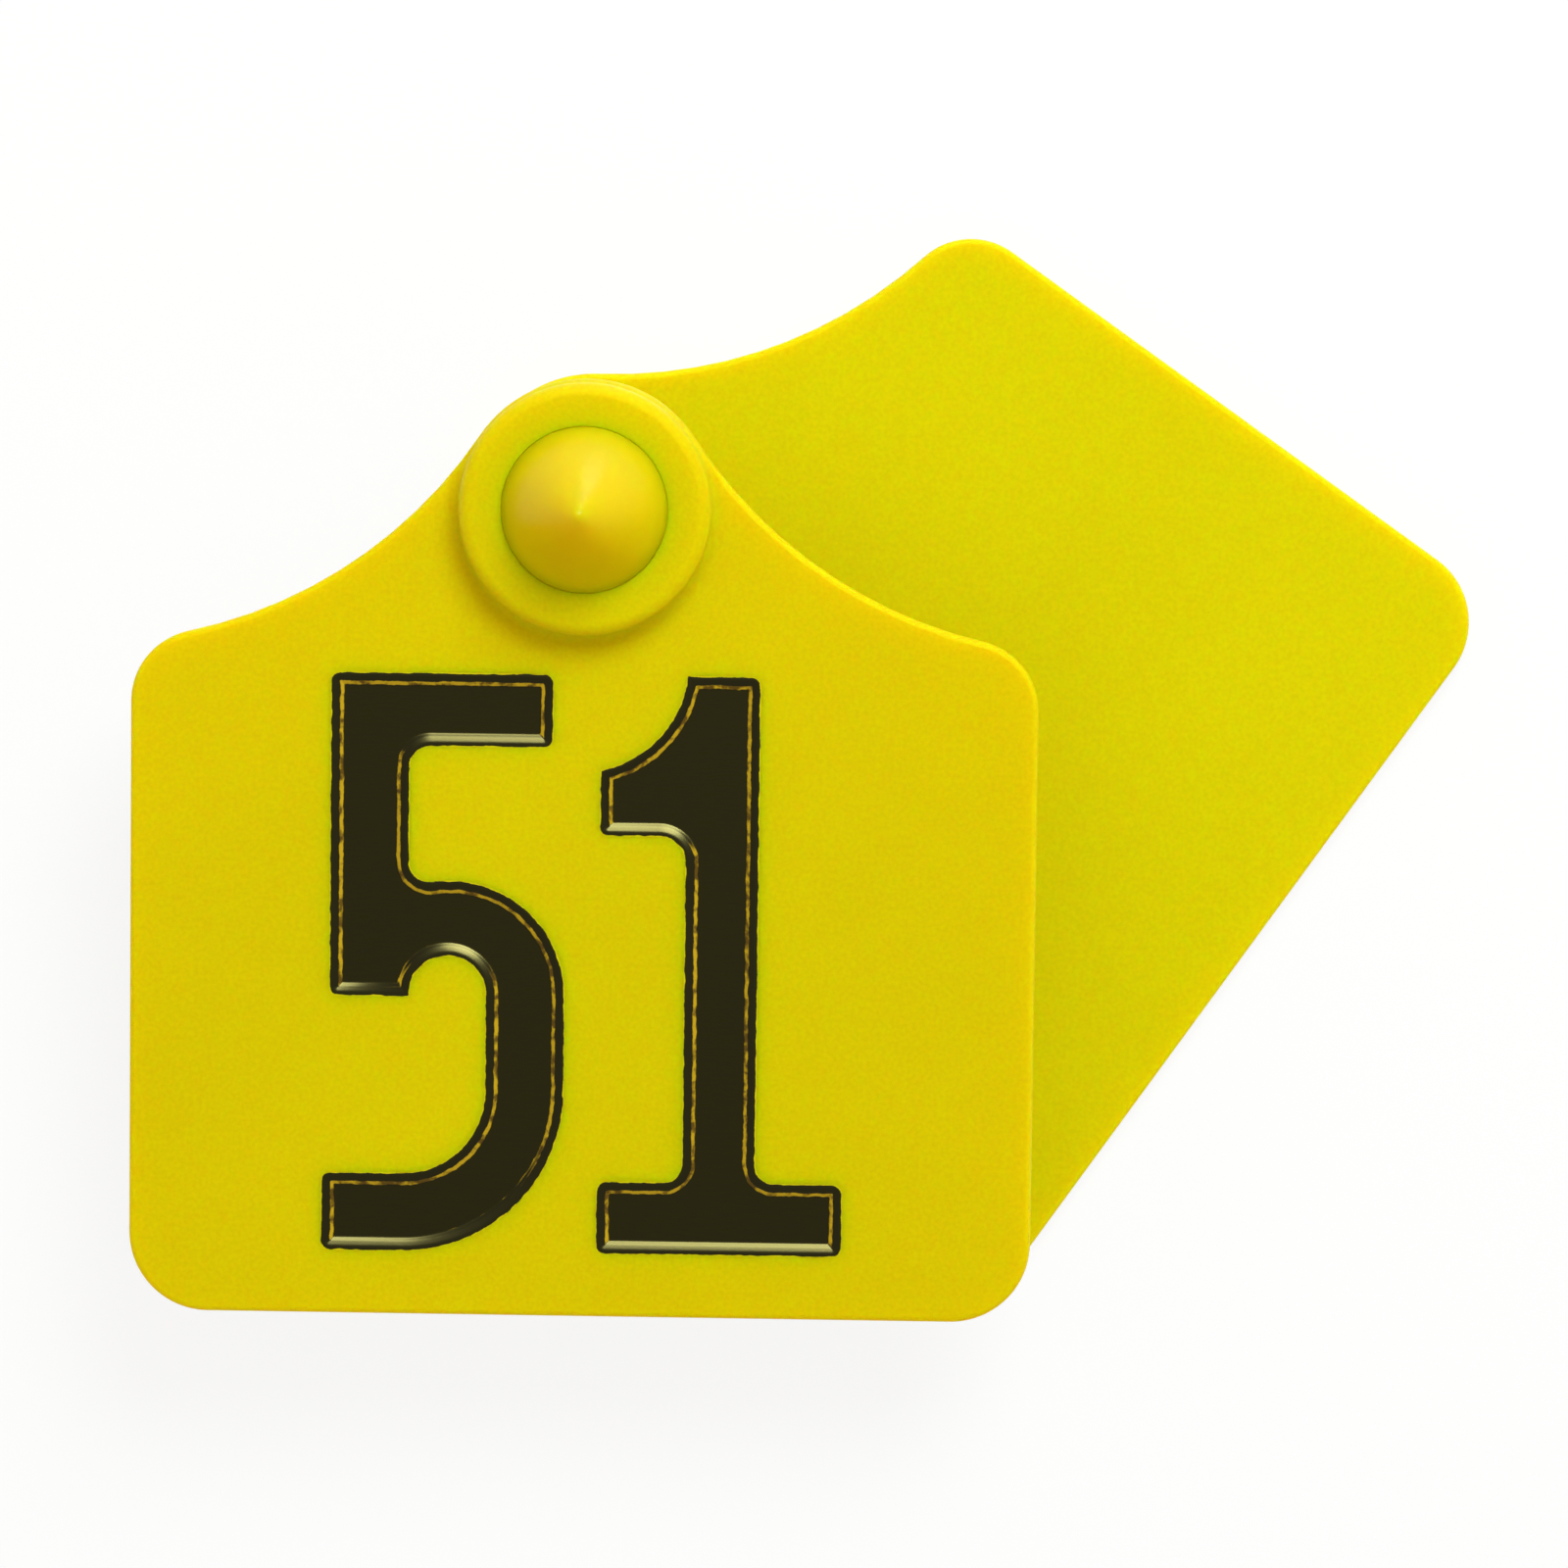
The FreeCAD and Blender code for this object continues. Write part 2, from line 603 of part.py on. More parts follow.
def main():
    doc = FreeCAD.newDocument("ear_tag")
    size = make_sheet(doc)
    doc.recompute()
    bodies = [
        make_front_panel(doc, size),
        make_numeral(doc, size, "numeral_five", draw_five),
        make_numeral(doc, size, "numeral_one", draw_one),
        make_rear_panel(doc, size),
        make_stud_tip(doc, size),
    ]
    for body in bodies:
        body.Label = body.Name
    doc.recompute()
    check_document(doc, bodies)
    os.makedirs("parts", exist_ok=True)
    for body in bodies:
        body.Shape.exportStep(f"parts/{body.Label}.step")
        box = body.Shape.optimalBoundingBox()
        print(f"{body.Label}: {body.Shape.Volume:.1f} mm3, x {box.XMin:.2f} to {box.XMax:.2f}, "
              f"y {box.YMin:.2f} to {box.YMax:.2f}, z {box.ZMin:.2f} to {box.ZMax:.2f}")


main()
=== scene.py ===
# %% [markdown]
# # A livestock ear tag in yellow polyurethane
# The tag is two mouldings joined through an animal's ear. A numbered front panel has a
# raised ring round a hole. A plain rear panel carries a stem, and the stem's hard pointed
# tip is locked in the ring. This lesson dresses the CAD solids: each one is modelled again
# with rounder edges, a stamped and foiled number, and the finish of real plastic.

# %% Load the CAD frame
import json
import math

import bmesh
import bpy
from mathutils import Euler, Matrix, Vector

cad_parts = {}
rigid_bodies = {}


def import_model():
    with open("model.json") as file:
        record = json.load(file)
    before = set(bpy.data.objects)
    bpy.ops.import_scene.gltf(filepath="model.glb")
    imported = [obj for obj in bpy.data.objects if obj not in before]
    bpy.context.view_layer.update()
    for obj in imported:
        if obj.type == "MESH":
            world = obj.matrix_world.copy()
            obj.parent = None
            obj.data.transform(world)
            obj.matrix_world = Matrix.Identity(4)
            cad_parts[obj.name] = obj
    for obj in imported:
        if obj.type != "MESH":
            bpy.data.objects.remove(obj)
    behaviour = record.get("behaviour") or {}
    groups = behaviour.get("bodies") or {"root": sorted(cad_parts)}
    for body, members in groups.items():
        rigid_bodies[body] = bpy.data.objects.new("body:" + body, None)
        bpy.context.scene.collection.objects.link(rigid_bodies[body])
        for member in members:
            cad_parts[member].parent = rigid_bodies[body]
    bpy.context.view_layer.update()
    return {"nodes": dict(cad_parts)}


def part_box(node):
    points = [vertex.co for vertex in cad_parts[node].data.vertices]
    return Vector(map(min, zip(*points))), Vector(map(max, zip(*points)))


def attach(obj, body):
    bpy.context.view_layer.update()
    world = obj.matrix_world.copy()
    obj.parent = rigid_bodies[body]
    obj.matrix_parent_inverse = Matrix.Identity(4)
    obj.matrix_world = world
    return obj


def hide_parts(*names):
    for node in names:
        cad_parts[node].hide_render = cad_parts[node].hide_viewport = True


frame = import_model()
MM = 0.001
print("nodes:", ", ".join(sorted(frame["nodes"])))

# %% [markdown]
# ## Reading the sizes
# Every outer size comes from the boxes of the CAD nodes, so the new pieces land where the
# solids are. The front panel's box gives its half width, its drop below the stem and the
# radius of its round head. Radii that no box shows are named here, in millimetres.

# %% Sizes from the frame
front_low, front_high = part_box("front_panel")
_, rear_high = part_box("rear_panel")
_, tip_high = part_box("stud_tip")
five_low, five_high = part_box("numeral_five")
one_low, one_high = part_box("numeral_one")

half_width = front_high.x
drop = -front_low.y
head = front_high.y
thickness = 1.6 * MM
front_back = front_low.z
front_face = front_back + thickness
ring_top = front_high.z
recess_floor = five_low.z
stem_top = rear_high.z
point = tip_high.z
print(f"panel {2000 * half_width:.1f} mm wide, front face at {1000 * front_face:.1f} mm")

scoop_radius = 29.75 * MM
shoulder_radius = 4.5 * MM
shoulder_drop = 12.5 * MM
corner_radius = 5.0 * MM
rim_radius = 0.4 * MM
rear_turn = math.radians(55)

# %% [markdown]
# ## A pen that draws with edit-mode operators
# Both panels and both numerals are flat outlines of straight runs and arcs. The pen is one
# vertex: extruding it draws a straight run, and spinning it round a centre draws an arc, so
# every arc is true. A closed outline is then filled, extruded and bevelled. The same pen
# draws in the upright plane too, for sections that are spun round the stem's axis.

# %% The pen
LEVEL = (Vector((1, 0, 0)), Vector((0, 1, 0)))
UPRIGHT = (Vector((1, 0, 0)), Vector((0, 0, 1)))
ARC_STEP = math.radians(4)


def deselect_all():
    if bpy.context.object and bpy.context.object.mode != "OBJECT":
        bpy.ops.object.mode_set(mode="OBJECT")
    bpy.ops.object.select_all(action="DESELECT")


class Pen:
    """One vertex of a mesh, moved by extrude and spin. It draws in metres.

    With a name it starts a new piece. In edit mode, without one, it adds to the piece.
    """

    def __init__(self, name, start, plane=LEVEL, height=0.0):
        if name:
            deselect_all()
        else:
            bpy.ops.mesh.select_all(action="DESELECT")
        bpy.ops.mesh.primitive_plane_add(size=MM)
        self.piece = bpy.context.object
        if name:
            self.piece.name = name
            bpy.ops.object.mode_set(mode="EDIT")
            bpy.ops.mesh.select_all(action="SELECT")
        bpy.ops.mesh.select_mode(type="VERT")
        bpy.ops.mesh.merge(type="CENTER")
        self.across, self.up = plane
        self.height = self.across.cross(self.up) * height
        self.place = Vector(start)
        bpy.ops.transform.translate(value=self.in_space(self.place))

    def in_space(self, place):
        return self.across * place[0] + self.up * place[1] + self.height

    def run(self, x, y):
        """Straight run to a place in the pen's plane."""
        move = self.in_space((x, y)) - self.in_space(self.place)
        bpy.ops.mesh.extrude_region_move(TRANSFORM_OT_translate={"value": move})
        self.place = Vector((x, y))

    def swing(self, x, y, centre, clockwise=False, steps=None):
        """Arc round a centre to a place in the pen's plane."""
        start, end = self.place - Vector(centre), Vector((x, y)) - Vector(centre)
        turn = math.atan2(end.y, end.x) - math.atan2(start.y, start.x)
        turn = turn % (2 * math.pi) - (2 * math.pi if clockwise else 0)
        steps = steps or max(4, math.ceil(abs(turn) / ARC_STEP))
        bpy.ops.mesh.spin(steps=steps, angle=-turn, center=self.in_space(centre),
                          axis=self.across.cross(self.up))
        self.place = Vector((x, y))

    def blunt(self, x, y, toward, radius):
        """Run up to a square corner, then a small arc that turns towards the next place."""
        corner = Vector((x, y))
        arrive = (corner - self.place).normalized()
        leave = (Vector(toward) - corner).normalized()
        start, end = corner - arrive * radius, corner + leave * radius
        self.run(*start)
        self.swing(*end, start + leave * radius, steps=4,
                   clockwise=arrive.cross(leave) < 0)

    def close(self, fill=True):
        """Joins the last vertex to the first, and fills the outline with one face."""
        bpy.ops.mesh.select_linked()
        bpy.ops.mesh.remove_doubles(threshold=0.002 * MM)
        if fill:
            bpy.ops.mesh.edge_face_add()
        return self.piece


def meeting(first, first_radius, second, second_radius, left=True):
    """Where two circles cross, seen to the left or right of the way between them."""
    first, second = Vector(first), Vector(second)
    way = second - first
    along = (way.length ** 2 + first_radius ** 2 - second_radius ** 2) / (2 * way.length)
    aside = math.sqrt(first_radius ** 2 - along ** 2) * (1 if left else -1)
    way.normalize()
    return first + way * along + Vector((-way.y, way.x)) * aside


# %% [markdown]
# ## Small helpers for edit mode
# An operator acts on all that is selected, so vertices, edges and faces are picked in code
# by where they are. Booleans and other modifiers are applied at once, which leaves plain
# meshes whose objects stay at the origin.

# %% Picking and joining
def pick(piece, kind, chosen):
    """In edit mode, selects only the edges or faces that the test picks."""
    bpy.ops.mesh.select_all(action="DESELECT")
    bpy.ops.mesh.select_mode(type="EDGE" if kind == "edges" else "FACE")
    mesh = bmesh.from_edit_mesh(piece.data)
    count = 0
    for part in getattr(mesh, kind):
        part.select_set(chosen(part))
        count += part.select
    mesh.select_flush_mode()
    bmesh.update_edit_mesh(piece.data)
    return count


def make_active(piece):
    deselect_all()
    piece.select_set(True)
    bpy.context.view_layer.objects.active = piece


def tidy_normals(piece):
    """Merges doubles and turns every face outwards."""
    make_active(piece)
    bpy.ops.object.mode_set(mode="EDIT")
    bpy.ops.mesh.select_all(action="SELECT")
    bpy.ops.mesh.remove_doubles(threshold=0.002 * MM)
    bpy.ops.mesh.normals_make_consistent(inside=False)
    bpy.ops.object.mode_set(mode="OBJECT")


def combine(piece, other, operation):
    """Applies a boolean with the other mesh, which is then deleted."""
    make_active(piece)
    modifier = piece.modifiers.new(operation.lower(), "BOOLEAN")
    modifier.operation = operation
    modifier.solver = "EXACT"
    modifier.object = other
    bpy.ops.object.modifier_apply(modifier=modifier.name)
    bpy.data.objects.remove(other)


def smooth(piece, degrees=35):
    """Smooth shading up to an angle, with flat faces kept flat by weighted normals."""
    make_active(piece)
    bpy.ops.object.shade_smooth_by_angle(angle=math.radians(degrees))
    modifier = piece.modifiers.new("flat_faces_first", "WEIGHTED_NORMAL")
    modifier.keep_sharp = True
    modifier.weight = 100
    bpy.ops.object.modifier_apply(modifier=modifier.name)


def report(piece):
    triangles = sum(len(face.vertices) - 2 for face in piece.data.polygons)
    print(f"{piece.name}: {triangles} triangles")


# %% [markdown]
# ## The panel outline
# Both panels are cut to one outline: a round head about the stem, hollow sides that sweep
# out to rounded shoulders, straight parallel sides and rounded bottom corners. The hollow
# arc touches the head and the shoulder, so its centre is where two circles cross.

# %% Draw a panel outline
def draw_panel(name, height, inset=0.0):
    """Fills one panel outline at a height, drawn inside the true one by the inset."""
    top, side = head - inset, half_width - inset
    upper, lower = shoulder_radius - inset, corner_radius - inset
    scoop, bottom = scoop_radius + inset, -drop + inset
    shoulder = Vector((side - upper, -shoulder_drop))
    hollow = meeting((0, 0), top + scoop, shoulder, scoop + upper)
    leave = hollow * top / (top + scoop)
    land = shoulder + (hollow - shoulder) * upper / (scoop + upper)

    def other_side(place):
        return -place[0], place[1]

    pen = Pen(name, other_side(leave), height=height)
    pen.swing(*leave, (0, 0), clockwise=True)
    pen.swing(*land, hollow)
    pen.swing(side, shoulder.y, shoulder, clockwise=True)
    pen.run(side, bottom + lower)
    pen.swing(side - lower, bottom, (side - lower, bottom + lower), clockwise=True)
    pen.run(-side + lower, bottom)
    pen.swing(-side, bottom + lower, (-side + lower, bottom + lower), clockwise=True)
    pen.run(-side, shoulder.y)
    pen.swing(*other_side(land), other_side(shoulder), clockwise=True)
    pen.swing(*other_side(leave), other_side(hollow))
    return pen.close()


def raise_outline(piece, height):
    """Extrudes the filled outline into a closed block."""
    bpy.ops.mesh.select_all(action="SELECT")
    bpy.ops.mesh.extrude_region_move(TRANSFORM_OT_translate={"value": (0, 0, height)})
    tidy_normals(piece)


def add_plate(name, height):
    """A flat panel with its rim rounded on both faces."""
    plate = draw_panel(name, height)
    raise_outline(plate, thickness)
    bpy.ops.object.mode_set(mode="EDIT")
    pick(plate, "edges", lambda e: abs(e.verts[0].co.z - e.verts[1].co.z) < 0.1 * rim_radius)
    bpy.ops.mesh.bevel(offset=rim_radius, segments=5, affect="EDGES")
    bpy.ops.object.mode_set(mode="OBJECT")
    return plate


# %% [markdown]
# ## Turned shapes
# The ring, the stem, the bore and the tip are all round about the stem's axis. A lathe
# section is drawn upright with the same pen and spun through a full turn, which is quicker
# and cleaner than stacking cylinders.

# %% Spin a section
def spin_section(pen, steps=144):
    """Spins the pen's section once round the stem's axis and closes the seam and poles."""
    bpy.ops.mesh.select_all(action="SELECT")
    bpy.ops.mesh.spin(steps=steps, angle=2 * math.pi, center=(0, 0, 0), axis=(0, 0, 1))
    tidy_normals(pen.piece)
    return pen.piece


# %% [markdown]
# ## The front panel's ring
# The ring is moulded with the panel. Its wall is almost flush with the round head, its top
# edge is well rounded, and a small fillet softens its foot. The fillet would overhang the
# head, so the ring is first trimmed with a block of the panel's own outline.

# %% Ring blank
ring_wall = head - 0.2 * MM
ring_edge = 0.8 * MM
ring_foot = 0.8 * MM


def add_ring_blank():
    low = front_back + 1.25 * MM
    pen = Pen("ring_blank", (0, low), UPRIGHT)
    pen.run(ring_wall + ring_foot, low)
    pen.run(ring_wall + ring_foot, front_face + 0.01 * MM)
    pen.swing(ring_wall, front_face + ring_foot, (ring_wall + ring_foot,
              front_face + ring_foot + 0.01 * MM), clockwise=True)
    pen.run(ring_wall, ring_top - ring_edge)
    pen.swing(ring_wall - ring_edge, ring_top, (ring_wall - ring_edge, ring_top - ring_edge))
    pen.run(0, ring_top)
    blank = spin_section(pen)
    trim = draw_panel("ring_trim", front_back + 1.2 * MM, inset=0.05 * MM)
    raise_outline(trim, 4 * MM)
    combine(blank, trim, "INTERSECT")
    return blank


# %% [markdown]
# ## The stepped bore
# The stem turns in a narrow lip at the bottom, and the tip's shoulder sits in a wider
# counterbore above it. One turned cutter makes both, and its flared top leaves the mouth of
# the counterbore rounded.

# %% Bore cutter
lip_radius = 2.98 * MM
lip_top = front_back + 1.8 * MM
mouth_radius = 5.18 * MM
mouth_edge = 0.08 * MM


def add_bore_cutter():
    beyond = 1 * MM
    pen = Pen("bore_cutter", (0, front_back - beyond), UPRIGHT)
    pen.run(lip_radius, front_back - beyond)
    pen.run(lip_radius, lip_top)
    pen.run(mouth_radius, lip_top)
    pen.run(mouth_radius, ring_top - mouth_edge)
    pen.swing(mouth_radius + mouth_edge, ring_top,
              (mouth_radius + mouth_edge, ring_top - mouth_edge), clockwise=True)
    pen.run(mouth_radius + mouth_edge, ring_top + beyond)
    pen.run(0, ring_top + beyond)
    return spin_section(pen)


# %% [markdown]
# ## The numerals
# The number is pressed into the panel by a hot die through black foil. Each numeral is one
# closed outline of strokes of even width with rounded inner corners. The recess gets
# narrower as it gets deeper, so each outline can also be drawn inside itself by an inset:
# straight runs move inwards, hollow arcs grow, and full arcs shrink about the same centre.
# A worn die has slightly blunt corners, which the pen rounds with a small arc.

# %% Outline of the five
five_top, five_bottom = five_high.y, five_low.y
five_right = five_high.x
five_hook = 10.0 * MM
five_stroke = 4.6 * MM
five_tail = 4.9 * MM
five_bar_length = 13.6 * MM
five_bar_depth = 4.25 * MM
five_fillet = 1.5 * MM
five_bowl = 7.0 * MM
five_arch = 2.6 * MM
five_width = 14.45 * MM
five_waist = 0.5535
corner_blunt = 0.40 * MM


def blunt_radius(inset):
    return max(corner_blunt - inset, 0.09 * MM)


def draw_five(name, height, inset=0.0, fill=True):
    left, top = five_right - five_width, five_top
    inner_left = left + five_stroke
    foot = top - five_waist * (top - five_bottom)
    fillet_x = inner_left + five_fillet
    bar = top - five_bar_depth
    bowl = Vector((five_right - five_bowl, foot))
    reach = fillet_x - bowl.x
    corner = Vector((fillet_x, foot + math.sqrt((five_bowl + five_fillet) ** 2 - reach ** 2)))
    land = bowl + (corner - bowl) * (five_bowl - inset) / (five_bowl + five_fillet)
    hook = Vector((five_right - five_hook, five_bottom + five_hook))
    outer, inner = five_hook - inset, five_hook - five_stroke + inset
    arch = Vector((hook.x + five_hook - five_stroke - five_arch, foot))
    arch_end = arch.x - math.sqrt((five_arch + inset) ** 2 - inset ** 2)
    fillet, radius = five_fillet + inset, blunt_radius(inset)

    west, north, south = left + inset, top - inset, five_bottom + inset
    bar_end, tail_end = left + five_bar_length - inset, hook.x - five_tail + inset
    pen = Pen(name, (west + radius, north), height=height)
    pen.blunt(bar_end, north, (bar_end, bar), radius)
    pen.blunt(bar_end, bar + inset, (left, bar + inset), radius)
    pen.run(fillet_x, bar + inset)
    pen.swing(fillet_x - fillet, bar - five_fillet, (fillet_x, bar - five_fillet), steps=14)
    pen.run(fillet_x - fillet, corner.y)
    pen.swing(*land, corner, steps=14)
    pen.swing(five_right - inset, foot, bowl, clockwise=True, steps=28)
    pen.run(five_right - inset, hook.y)
    pen.swing(hook.x, south, hook, clockwise=True, steps=28)
    pen.blunt(tail_end, south, (tail_end, hook.y), radius)
    pen.blunt(tail_end, hook.y - inner, (hook.x, hook.y - inner), radius)
    pen.run(hook.x, hook.y - inner)
    pen.swing(hook.x + inner, hook.y, hook, steps=24)
    pen.run(hook.x + inner, foot)
    pen.swing(arch_end, foot + inset, arch, steps=36)
    pen.blunt(west, foot + inset, (west, top), radius)
    pen.blunt(west, north, (bar_end, north), radius)
    return pen.close(fill)


# %% Outline of the one
one_left, one_right = one_low.x, one_high.x
one_top, one_bottom = one_high.y, one_low.y
one_stem_inset = 5.4 * MM
one_stroke = 4.25 * MM
one_base_depth = 4.25 * MM
one_flag_drop = 9.75 * MM
one_flag_end = 3.8 * MM
one_flag_arc = 7.1 * MM
one_flag_fillet = 1.85 * MM
one_base_fillet = 1.35 * MM


def draw_one(name, height, inset=0.0, fill=True):
    left, top, bottom = one_left, one_top, one_bottom
    stem, right = left + one_stem_inset, left + one_stem_inset + one_stroke
    base_top, under = bottom + one_base_depth, top - one_flag_drop
    hollow = meeting((stem, top), one_flag_arc, (left, under + one_flag_end), one_flag_arc,
                     left=False)
    reach = one_flag_arc + inset
    flag, base = one_flag_fillet + inset, one_base_fillet + inset
    flag_centre = Vector((stem - one_flag_fillet, under - one_flag_fillet))
    base_left = Vector((stem - one_base_fillet, base_top + one_base_fillet))
    base_right = Vector((right + one_base_fillet, base_top + one_base_fillet))

    west, east, north, south = left + inset, one_right - inset, top - inset, bottom + inset
    arc_start = hollow.x + math.sqrt(reach ** 2 - (north - hollow.y) ** 2)
    arc_end = hollow.y - math.sqrt(reach ** 2 - (west - hollow.x) ** 2)
    radius = blunt_radius(inset)
    pen = Pen(name, (arc_start, north), height=height)
    pen.swing(west, arc_end, hollow, clockwise=True, steps=20)
    pen.blunt(west, under + inset, (stem, under + inset), radius)
    pen.run(flag_centre.x, under + inset)
    pen.swing(stem + inset, flag_centre.y, flag_centre, clockwise=True, steps=14)
    pen.run(stem + inset, base_left.y)
    pen.swing(base_left.x, base_top - inset, base_left, clockwise=True, steps=14)
    pen.blunt(west, base_top - inset, (west, bottom), radius)
    pen.blunt(west, south, (east, south), radius)
    pen.blunt(east, south, (east, base_top), radius)
    pen.blunt(east, base_top - inset, (right, base_top - inset), radius)
    pen.run(base_right.x, base_top - inset)
    pen.swing(right - inset, base_right.y, base_right, clockwise=True, steps=14)
    pen.blunt(right - inset, north, (stem, north), radius)
    pen.run(arc_start, north)
    return pen.close(fill)


# %% [markdown]
# ## The foil in the numerals
# The recess has a rounded lip, a wall and a flat floor, and a little foil is squeezed out
# over the lip on to the panel. The section is a short list of insets and depths that runs
# from the foil's back, round the squeezed edge and down to the floor. One outline is drawn
# for each, all with the same number of vertices. They are drawn far apart, so that the
# bridge between neighbours can't twist, and each is then moved to its own height.

# %% Foil section
flash_width = 0.20
foil_section = [(0.0, 0.40), (0.0, 0.022), (-flash_width, 0.012),
                (-flash_width, -0.002), (-0.10, -0.010), (0.0, -0.014),
                (0.07, -0.008), (0.14, 0.010), (0.22, 0.038), (0.30, 0.068), (0.38, 0.098),
                (0.44, 0.126), (0.50, 0.166), (0.56, 0.206), (0.61, 0.232), (0.66, 0.245),
                (0.74, 0.248)]


def on_level(height):
    return lambda edge: all(abs(v.co.z - height) < 0.0005 * MM for v in edge.verts)


def note_way_in(foil):
    """Keeps on each vertex how far inside the outline it lies, in millimetres."""
    way_in = foil.data.attributes.new("way_in", "FLOAT", "POINT")
    for vertex, item in zip(foil.data.vertices, way_in.data):
        fall = (front_face - vertex.co.z) / MM
        item.value = min(foil_section, key=lambda step: abs(step[1] - fall))[0]


# %% Foil pieces
def add_foil(draw, name):
    apart = [(100 + 3 * step) * MM for step in range(len(foil_section))]
    foil = draw(name, apart[0], foil_section[0][0] * MM, fill=False)
    for height, (inset, _) in zip(apart[1:], foil_section[1:]):
        draw(None, height, inset * MM, fill=False)
    for height, above in zip(apart, apart[1:]):
        pick(foil, "edges", lambda e: on_level(height)(e) or on_level(above)(e))
        bpy.ops.mesh.bridge_edge_loops()
    for end in (apart[0], apart[-1]):
        pick(foil, "edges", on_level(end))
        bpy.ops.mesh.edge_face_add()
    for height, (_, fall) in zip(apart, foil_section):
        pick(foil, "edges", on_level(height))
        bpy.ops.transform.translate(value=(0, 0, front_face - fall * MM - height))
    tidy_normals(foil)
    note_way_in(foil)
    smooth(foil, 50)
    report(foil)
    return foil


foil_five = add_foil(draw_five, "foil_five")
foil_one = add_foil(draw_one, "foil_one")


# %% [markdown]
# ## The front moulding
# The plate, its ring, the bore and the two recesses are one moulding. The ring is joined to
# the plate by a union, and the bore and the recesses are cut out of both. The recesses have
# upright walls, because the foil covers them.

# %% Front moulding
def add_front_moulding():
    moulding = add_plate("front_moulding", front_back)
    combine(moulding, add_ring_blank(), "UNION")
    combine(moulding, add_bore_cutter(), "DIFFERENCE")
    for draw, name in ((draw_five, "five_cutter"), (draw_one, "one_cutter")):
        cutter = draw(name, recess_floor)
        raise_outline(cutter, 1 * MM)
        combine(moulding, cutter, "DIFFERENCE")
    smooth(moulding)
    return moulding


front_moulding = add_front_moulding()
report(front_moulding)

# %% [markdown]
# ## The rear moulding
# The stem and the disc at its foot are moulded with the rear panel. Their section is turned
# in one go with the fillets drawn in it, then joined to the plate. A blind hole from behind
# takes the pin of the applicator, and a barbed socket at the top holds the tip. The moulding
# is made straight, like the front one, and turned about the stem at the end.

# %% Rear moulding
disc_radius = 6.0 * MM
disc_top = 2.4 * MM
disc_edge = 0.3 * MM
stem_radius = 2.9 * MM
stem_root = 0.6 * MM
pin_radius = 1.5 * MM
pin_depth = 7.6 * MM
spigot_length = 4.5 * MM
spigot_neck = 1.4 * MM
spigot_barb = 1.9 * MM
barb_length = 1.6 * MM


def add_stem():
    pen = Pen("stem", (0, 0.8 * MM), UPRIGHT)
    pen.run(disc_radius, 0.8 * MM)
    pen.run(disc_radius, disc_top - disc_edge)
    pen.swing(disc_radius - disc_edge, disc_top, (disc_radius - disc_edge, disc_top - disc_edge))
    pen.run(stem_radius + stem_root, disc_top)
    pen.swing(stem_radius, disc_top + stem_root,
              (stem_radius + stem_root, disc_top + stem_root), clockwise=True)
    pen.run(stem_radius, stem_top)
    pen.run(0, stem_top)
    return spin_section(pen)


def draw_spigot(pen):
    """The barbed spigot's section, from its end up to the stem's top."""
    end = stem_top - spigot_length
    pen.run(spigot_barb, end)
    pen.run(spigot_barb, end + barb_length)
    pen.run(spigot_neck, end + barb_length)
    pen.run(spigot_neck, stem_top)


def add_pin_cutter():
    pen = Pen("pin_cutter", (0, -1 * MM), UPRIGHT)
    pen.run(pin_radius, -1 * MM)
    pen.run(pin_radius, pin_depth)
    pen.run(0, pin_depth)
    return spin_section(pen, 72)


def add_socket_cutter():
    pen = Pen("socket_cutter", (0, stem_top - spigot_length), UPRIGHT)
    draw_spigot(pen)
    pen.run(spigot_neck, stem_top + 1 * MM)
    pen.run(0, stem_top + 1 * MM)
    return spin_section(pen, 72)


def add_rear_moulding():
    moulding = add_plate("rear_moulding", 0)
    combine(moulding, add_stem(), "UNION")
    combine(moulding, add_pin_cutter(), "DIFFERENCE")
    combine(moulding, add_socket_cutter(), "DIFFERENCE")
    smooth(moulding)
    moulding.rotation_euler.z = rear_turn
    bpy.ops.object.transform_apply(location=True, rotation=True, scale=True)
    return moulding


rear_moulding = add_rear_moulding()
report(rear_moulding)

# %% [markdown]
# ## The pointed tip
# The tip pierces the ear, so it is a hard, polished cone with slightly swollen sides, a tiny
# round point and a rounded shoulder. It is turned from one section, spigot included.

# %% Tip
tip_radius = 5.17 * MM
tip_stand = 0.05 * MM
tip_edge = 0.3 * MM
tip_flank = 30.0 * MM
tip_nose = 0.5 * MM


def add_tip():
    nose = Vector((0, point - tip_nose))
    skirt_top = Vector((tip_radius, ring_top + tip_stand))
    flank = meeting(skirt_top, tip_flank, nose, tip_flank - tip_nose)
    touch = nose + (nose - flank).normalized() * tip_nose
    pen = Pen("pointed_tip", (0, stem_top - spigot_length), UPRIGHT)
    draw_spigot(pen)
    pen.run(tip_radius - tip_edge, stem_top)
    pen.swing(tip_radius, stem_top + tip_edge, (tip_radius - tip_edge, stem_top + tip_edge))
    pen.run(*skirt_top)
    pen.swing(*touch, flank)
    pen.swing(0, point, nose)
    tip = spin_section(pen)
    smooth(tip, 40)
    return tip


pointed_tip = add_tip()
report(pointed_tip)

# %% [markdown]
# ## Yellow polyurethane
# The panels are dyed through and slightly translucent: light soaks in, spreads further in
# red than in green, and comes out warmer in the shade. That is subsurface scattering with a
# longer red radius. The skin has a fine moulded grain and faint cloudy patches in the dye.

# %% Node helpers
def new_material(name):
    material = bpy.data.materials.new(name)
    material.use_nodes = True
    shader = material.node_tree.nodes["Principled BSDF"]
    return material, material.node_tree, shader


